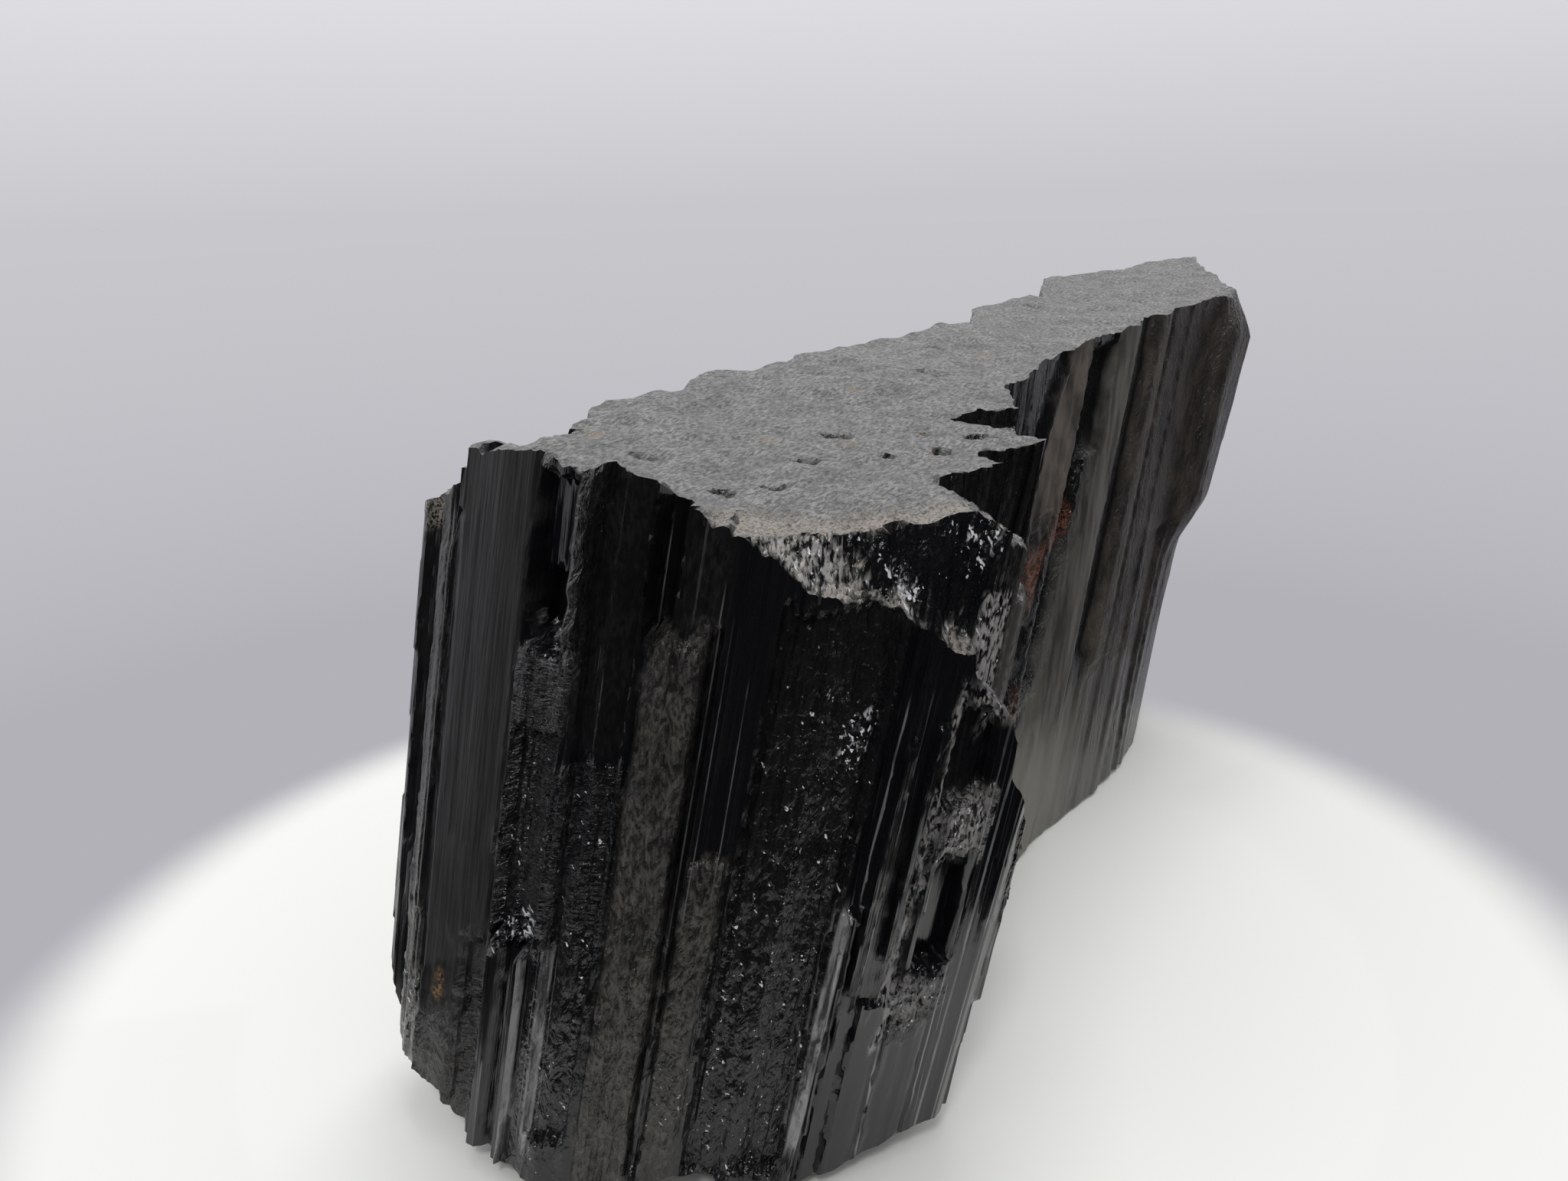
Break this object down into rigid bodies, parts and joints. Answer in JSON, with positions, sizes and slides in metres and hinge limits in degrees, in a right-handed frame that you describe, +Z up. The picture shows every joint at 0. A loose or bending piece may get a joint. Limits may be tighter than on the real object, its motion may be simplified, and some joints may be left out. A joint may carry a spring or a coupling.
{
  "type": "tourmaline crystal",
  "caption": "Broken prism of black tourmaline: striated columns, a chipped front corner and a long slab behind, standing on a flat broken foot.",
  "frame": {"origin": "middle of the bounding box in plan, at the level of the flat foot", "axes": "+Z up, close to the crystal's c-axis; +Y along the slab, away from the ribbed front face; +X to the stepped and chipped side"},
  "size_m": [0.047, 0.1282, 0.059],
  "materials": {
    "tourmaline": "glassy striated sides, dull broken top"
  },
  "bodies": {
    "root": {"schorl_crystal": "tourmaline"}
  },
  "joints": []
}
